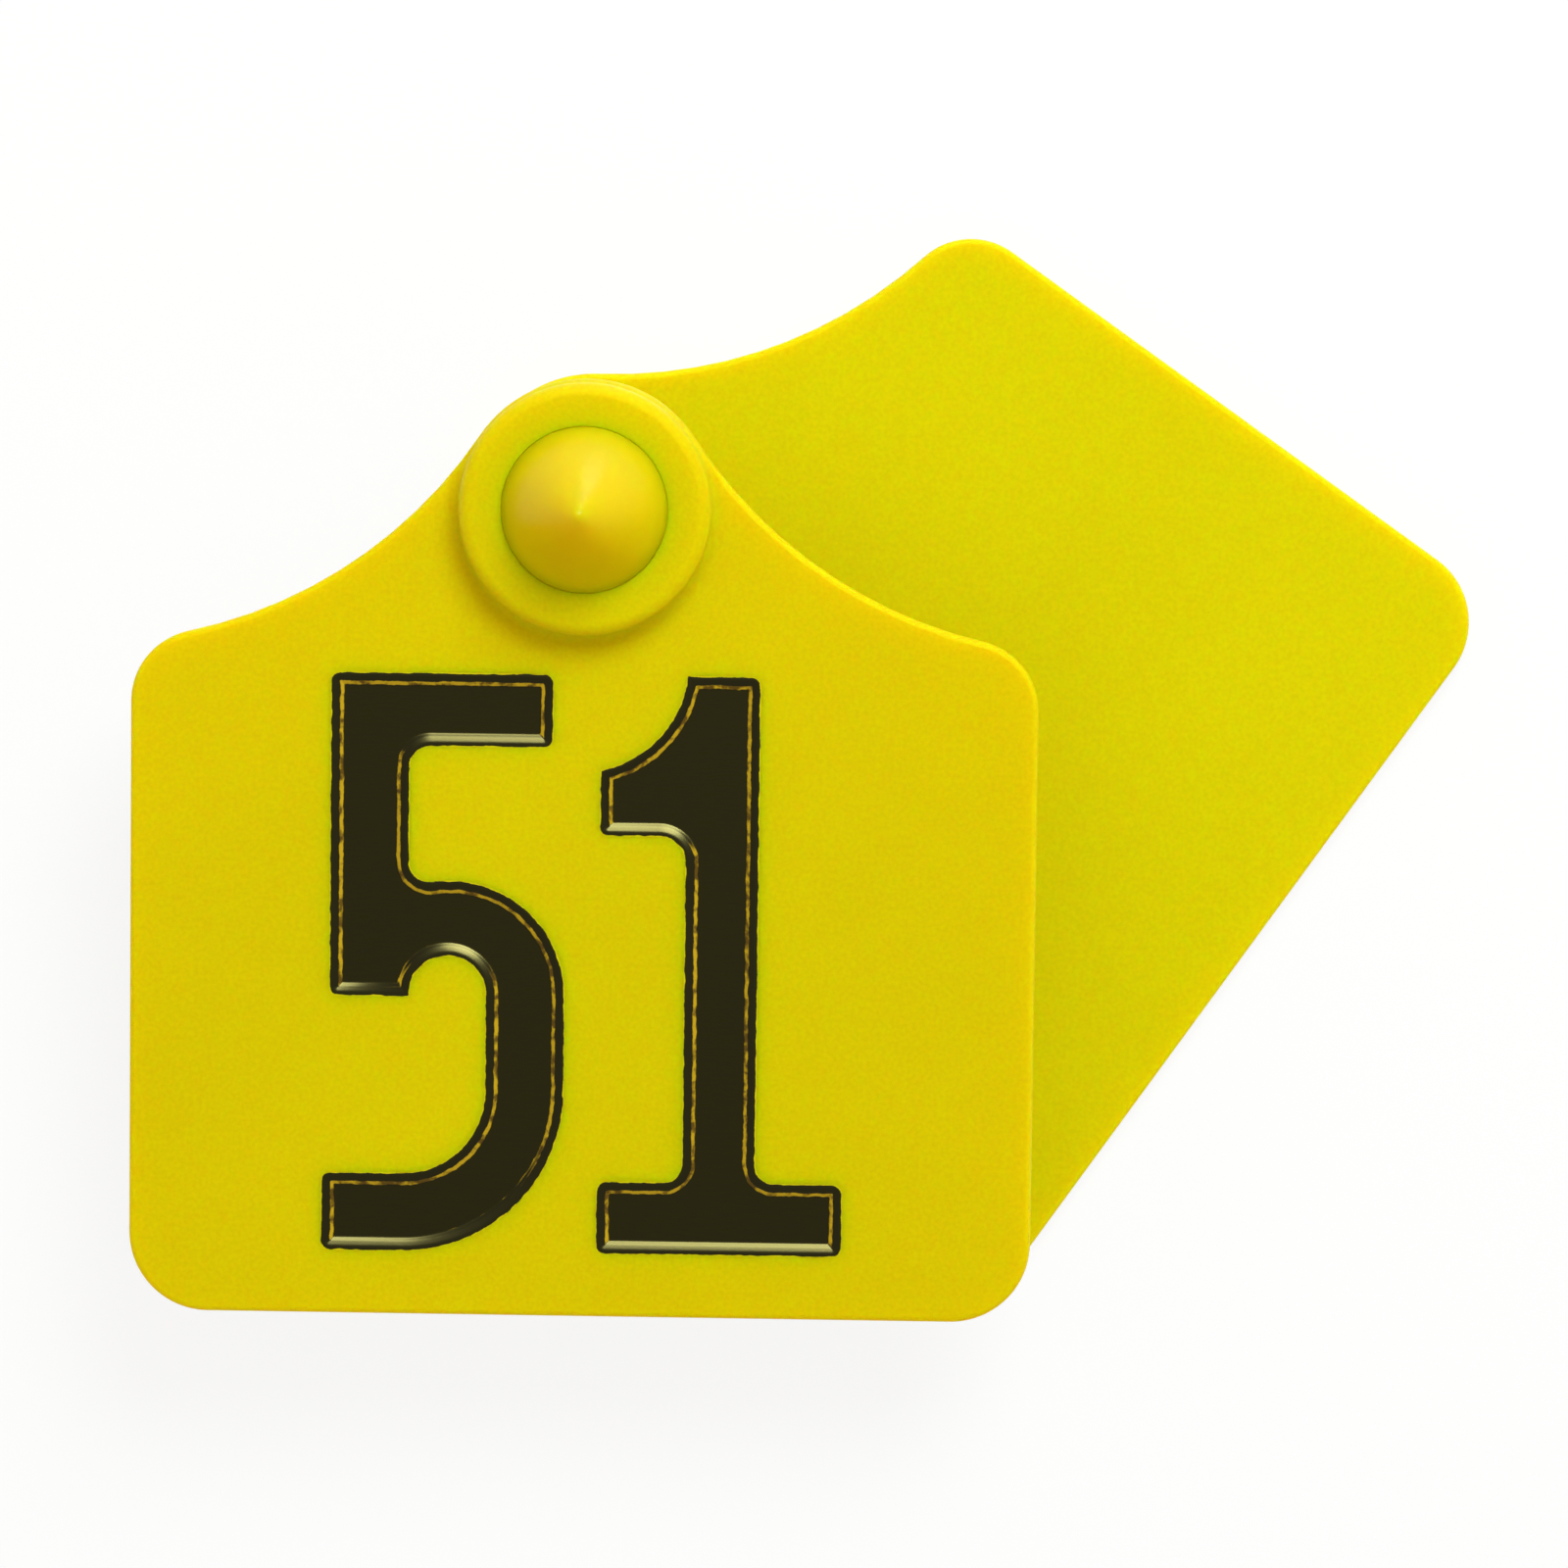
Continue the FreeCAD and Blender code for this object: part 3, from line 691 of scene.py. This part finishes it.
def add_node(tree, kind, **settings):
    node = tree.nodes.new(kind)
    for key, value in settings.items():
        setattr(node, key, value)
    return node


def object_noise(tree, scale, detail=3.0, stretch=(1, 1, 1)):
    """Noise on object coordinates, in features per metre."""
    place = add_node(tree, "ShaderNodeTexCoord")
    mapping = add_node(tree, "ShaderNodeMapping")
    mapping.inputs["Scale"].default_value = stretch
    noise = add_node(tree, "ShaderNodeTexNoise")
    noise.inputs["Scale"].default_value = scale
    noise.inputs["Detail"].default_value = detail
    tree.links.new(place.outputs["Object"], mapping.inputs["Vector"])
    tree.links.new(mapping.outputs["Vector"], noise.inputs["Vector"])
    return noise.outputs["Fac"]


def ramp(tree, value, *stops):
    """Colour ramp through (position, colour) stops."""
    node = add_node(tree, "ShaderNodeValToRGB")
    while len(node.color_ramp.elements) < len(stops):
        node.color_ramp.elements.new(0.5)
    for element, (position, colour) in zip(node.color_ramp.elements, stops):
        element.position = position
        element.color = (*colour, 1)
    tree.links.new(value, node.inputs["Fac"])
    return node.outputs["Color"]


def grey(level):
    return level, level, level


def mix_colours(tree, share, first, second):
    node = add_node(tree, "ShaderNodeMix", data_type="RGBA")
    for socket, value in ((node.inputs[0], share), (node.inputs[6], first),
                          (node.inputs[7], second)):
        if isinstance(value, tuple):
            socket.default_value = (*value, 1)
        else:
            tree.links.new(value, socket)
    return node.outputs[2]


def bump(tree, height, strength, distance, below=None):
    node = add_node(tree, "ShaderNodeBump")
    node.inputs["Strength"].default_value = strength
    node.inputs["Distance"].default_value = distance
    tree.links.new(height, node.inputs["Height"])
    if below:
        tree.links.new(below, node.inputs["Normal"])
    return node.outputs["Normal"]


# %% Panel plastic
panel_yellow = (0.665, 0.578, 0.001)
panel_deep_yellow = (0.635, 0.552, 0.001)
# The rear panel is the same plastic as the front one. Its two colours are painted a little
# lighter, as painted light, so that it comes out brighter than its lighting alone makes it.
rear_yellow_painted_lighter = (0.720, 0.625, 0.001)
rear_deep_yellow_painted_lighter = (0.690, 0.600, 0.001)
yellow_sheen = (1.0, 0.9, 0.02, 1)


def plastic_colour(tree, pale, deep):
    clouds = ramp(tree, object_noise(tree, 45, 3), (0.3, grey(0)), (0.7, grey(1)))
    dye = mix_colours(tree, clouds, pale, deep)
    specks = ramp(tree, object_noise(tree, 3600, 2), (0.3, grey(0.95)), (0.7, grey(1.04)))
    grain = add_node(tree, "ShaderNodeMix", data_type="RGBA", blend_type="MULTIPLY")
    grain.inputs[0].default_value = 1
    tree.links.new(dye, grain.inputs[6])
    tree.links.new(specks, grain.inputs[7])
    return grain.outputs[2]


def plastic_grain(tree):
    coarse = bump(tree, object_noise(tree, 900, 2), 0.25, 0.02 * MM)
    return bump(tree, object_noise(tree, 5200, 3), 0.35, 0.01 * MM, coarse)


def set_plastic_skin(shader):
    shader.inputs["Specular IOR Level"].default_value = 0.18
    shader.inputs["Specular Tint"].default_value = yellow_sheen
    shader.inputs["Subsurface Weight"].default_value = 1.0
    shader.inputs["Subsurface Radius"].default_value = (1.0, 0.25, 0.02)
    shader.inputs["Subsurface Scale"].default_value = 3.4 * MM


def plastic_material(name, pale, deep):
    material, tree, shader = new_material(name)
    tree.links.new(plastic_colour(tree, pale, deep), shader.inputs["Base Color"])
    tree.links.new(plastic_grain(tree), shader.inputs["Normal"])
    gloss = ramp(tree, object_noise(tree, 1500, 2), (0.3, grey(0.50)), (0.7, grey(0.58)))
    tree.links.new(gloss, shader.inputs["Roughness"])
    set_plastic_skin(shader)
    return material


front_plastic = plastic_material("yellow_polyurethane", panel_yellow, panel_deep_yellow)
rear_plastic_painted_lighter = plastic_material("yellow_polyurethane_painted_lighter", rear_yellow_painted_lighter, rear_deep_yellow_painted_lighter)
print("finishes:", front_plastic.name, "and", rear_plastic_painted_lighter.name)

# %% [markdown]
# ## The tip's plastic
# The tip is a harder plastic than the panels and comes out of a polished mould. It has the
# same kind of finish with a smoother skin, and a colour that is nearer to orange, because
# light goes deeper into it.

# %% Tip plastic
tip_yellow = (0.72, 0.54, 0.001)
tip_deep_yellow = (0.69, 0.52, 0.001)


def tip_material():
    material, tree, shader = new_material("hard_yellow_plastic")
    clouds = ramp(tree, object_noise(tree, 260, 3), (0.3, grey(0)), (0.7, grey(1)))
    colour = mix_colours(tree, clouds, tip_yellow, tip_deep_yellow)
    tree.links.new(colour, shader.inputs["Base Color"])
    tree.links.new(bump(tree, object_noise(tree, 1800, 2), 0.1, 0.01 * MM),
                   shader.inputs["Normal"])
    shader.inputs["Roughness"].default_value = 0.26
    shader.inputs["Specular IOR Level"].default_value = 0.07
    shader.inputs["Subsurface Weight"].default_value = 1.0
    shader.inputs["Subsurface Radius"].default_value = (1.0, 0.22, 0.02)
    shader.inputs["Subsurface Scale"].default_value = 5.5 * MM
    shader.subsurface_method = "BURLEY"
    return material


tip_plastic = tip_material()
print("finish:", tip_plastic.name)

# %% [markdown]
# ## The foil's finish
# Hot foil is glossy black with a gold side that shows where it is torn and stretched. The
# attribute way_in says how far inside the outline a spot lies, so bands follow the numeral:
# bare plastic, a ragged black rim, a thin gold line on the wall, and a black floor. Noise
# added to the distance makes the edges of the bands uneven. The walls that face up the
# panel, towards the lamps, are painted black instead of gold by the way they face. This is
# painted shade, and the glint lamp's reflection shows against it.

# %% Foil
foil_black = (0.003, 0.0026, 0.0)
rim_black = (0.003, 0.003, 0.002)
foil_gold = (0.52, 0.33, 0.008)
foil_brown = (0.10, 0.05, 0.003)
foil_begins = (-0.17, -0.13)
gold_begins = (0.36, 0.42)
floor_begins = (0.56, 0.64)
band_raggedness = 0.22
# Painted shade: how far a wall's normal must lean up the panel before the wall is painted black
# instead of gold.
painted_black_facing_range = (0.12, 0.30)


def blend_by(tree, value, low, high):
    """A share that rises from 0 to 1 as the value goes from low to high."""
    node = add_node(tree, "ShaderNodeMapRange", interpolation_type="SMOOTHSTEP")
    node.inputs["From Min"].default_value = low
    node.inputs["From Max"].default_value = high
    tree.links.new(value, node.inputs["Value"])
    return node.outputs["Result"]


def arithmetic(tree, operation, first, second):
    node = add_node(tree, "ShaderNodeMath", operation=operation)
    for socket, value in zip(node.inputs, (first, second)):
        if isinstance(value, (int, float)):
            socket.default_value = value
        else:
            tree.links.new(value, socket)
    return node.outputs["Value"]


def foil_material():
    material, tree, shader = new_material("black_stamping_foil")
    way_in = add_node(tree, "ShaderNodeAttribute", attribute_name="way_in").outputs["Fac"]
    facing = add_node(tree, "ShaderNodeSeparateXYZ")
    place = add_node(tree, "ShaderNodeTexCoord")
    tree.links.new(place.outputs["Normal"], facing.inputs["Vector"])

    ragged = arithmetic(tree, "SUBTRACT", object_noise(tree, 1500, 3), 0.5)
    uneven = arithmetic(tree, "ADD", way_in,
                        arithmetic(tree, "MULTIPLY", ragged, band_raggedness))
    worn = blend_by(tree, object_noise(tree, 1300, 4), 0.42, 0.62)
    gold = mix_colours(tree, worn, foil_gold, foil_brown)
    # Painted shade: walls that face up the panel, towards the lamps, are painted black instead
    # of gold by the way they face.
    painted_black_light_facing_wall = blend_by(tree, facing.outputs["Y"], *painted_black_facing_range)
    gold = mix_colours(tree, painted_black_light_facing_wall, gold, rim_black)
    wall = mix_colours(tree, blend_by(tree, uneven, *gold_begins), rim_black, gold)
    streaks = ramp(tree, object_noise(tree, 700, 4, (1, 12, 1)), (0.35, grey(0.002)),
                   (0.65, foil_black))
    inside = mix_colours(tree, blend_by(tree, uneven, *floor_begins), wall, streaks)
    colour = mix_colours(tree, blend_by(tree, uneven, *foil_begins), panel_yellow, inside)
    tree.links.new(colour, shader.inputs["Base Color"])
    tree.links.new(bump(tree, object_noise(tree, 2600, 3, (1, 3, 1)), 0.15, 0.01 * MM),
                   shader.inputs["Normal"])
    shader.inputs["Roughness"].default_value = 0.26
    shader.inputs["Specular IOR Level"].default_value = 0.34
    shader.inputs["Specular Tint"].default_value = (1.0, 0.92, 0.3, 1)
    return material


black_foil = foil_material()
print("finish:", black_foil.name)

# %% [markdown]
# ## Dressing the pieces
# Each piece takes its material and rides on the body of the node that it replaces.

# %% Dress and ride
dressing = [
    (front_moulding, front_plastic, "female_half", "front_panel", "panel_plastic"),
    (foil_five, black_foil, "female_half", "numeral_five", "numeral_foil"),
    (foil_one, black_foil, "female_half", "numeral_one", "numeral_foil"),
    (rear_moulding, rear_plastic_painted_lighter, "male_half", "rear_panel", "panel_plastic"),
    (pointed_tip, tip_plastic, "male_half", "stud_tip", "tip_plastic"),
]
for piece, material, body, node, slot in dressing:
    piece.data.materials.clear()
    piece.data.materials.append(material)
    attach(piece, body)
    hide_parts(node)
    print(f"{piece.name} rides on {body} and stands for {node}")

# %% [markdown]
# ## Floor, light and camera
# The tag lies on a white floor that still takes its shadow. One large soft lamp stands
# above the top edge, a little to the right, so the ring and the point throw short shadows
# down and to the left, and a pale world fills the rest. Two more lamps show only in gloss:
# one puts a pale glint on the walls of the numerals that face up the panel, and a small one
# puts a streak on the tip.

# %% Floor and world
floor_albedo = 0.86
camera_share = 0.85


def white_floor():
    deselect_all()
    bpy.ops.mesh.primitive_plane_add(size=4, location=(0, 0, 0))
    floor = bpy.context.object
    floor.name = "floor"
    material, tree, shader = new_material("white_floor")
    shader.inputs["Base Color"].default_value = (*grey(floor_albedo), 1)
    shader.inputs["Roughness"].default_value = 0.9
    glow = add_node(tree, "ShaderNodeEmission")
    glow.inputs["Strength"].default_value = 1
    path = add_node(tree, "ShaderNodeLightPath")
    share = add_node(tree, "ShaderNodeMath", operation="MULTIPLY")
    share.inputs[1].default_value = camera_share
    tree.links.new(path.outputs["Is Camera Ray"], share.inputs[0])
    blend = add_node(tree, "ShaderNodeMixShader")
    tree.links.new(share.outputs["Value"], blend.inputs[0])
    tree.links.new(shader.outputs[0], blend.inputs[1])
    tree.links.new(glow.outputs[0], blend.inputs[2])
    tree.links.new(blend.outputs[0], tree.nodes["Material Output"].inputs["Surface"])
    floor.data.materials.append(material)


white_floor()

world = bpy.data.worlds.new("studio")
bpy.context.scene.world = world
world.use_nodes = True
sky = world.node_tree.nodes["Background"]
sky.inputs["Color"].default_value = (1.0, 0.94, 0.88, 1)
sky.inputs["Strength"].default_value = 0.64
print("floor and world are in place")

# %% Lamps
stud = Vector((0, 0, front_back + thickness / 2))


def add_lamp(name, place, size, power):
    lamp = bpy.data.lights.new(name, "AREA")
    lamp.shape = "DISK"
    lamp.size = size
    lamp.energy = power
    holder = bpy.data.objects.new(name, lamp)
    bpy.context.scene.collection.objects.link(holder)
    holder.location = place
    holder.rotation_euler = (stud - Vector(place)).to_track_quat("-Z", "Y").to_euler()
    return holder


key_lamp = add_lamp("key_lamp", (0.145, 0.300, 0.375), 0.28, 1.9)
key_lamp.data.color = (0.92, 1.0, 1.0)
glint_lamp = add_lamp("glint_lamp", (0.08, 0.34, 0.355), 0.36, 7.5)
glint_lamp.visible_diffuse = False
streak_lamp = add_lamp("streak_lamp", (0.013, 0.055, 0.004), 0.030, 0.012)
streak_lamp.visible_diffuse = False
print("lamps:", key_lamp.name, glint_lamp.name, streak_lamp.name)

# %% [markdown]
# ## The camera
# The camera looks almost straight down on the tag, from 0.4 m, which is far enough for the
# panels to keep nearly the same size. Three small turns give the tilt, and it is then
# shifted so that the tag sits in the middle of the frame.

# %% Camera
camera_distance = 0.400
camera_turns = Euler((math.radians(-5.29), math.radians(0.89), math.radians(0.82)), "ZYX")
camera_shift = Vector((12.36 * MM, -17.33 * MM, camera_distance))

camera_data = bpy.data.cameras.new("camera")
camera_data.sensor_width = 36
camera_data.lens = 146.6
camera = bpy.data.objects.new("camera", camera_data)
bpy.context.scene.collection.objects.link(camera)
camera.rotation_mode = "ZYX"
camera.rotation_euler = camera_turns
camera.location = stud + camera_turns.to_matrix() @ camera_shift
bpy.context.scene.camera = camera
bpy.context.scene.view_settings.view_transform = "Standard"
print(f"camera: {camera_data.lens} mm lens at {camera_distance} m")
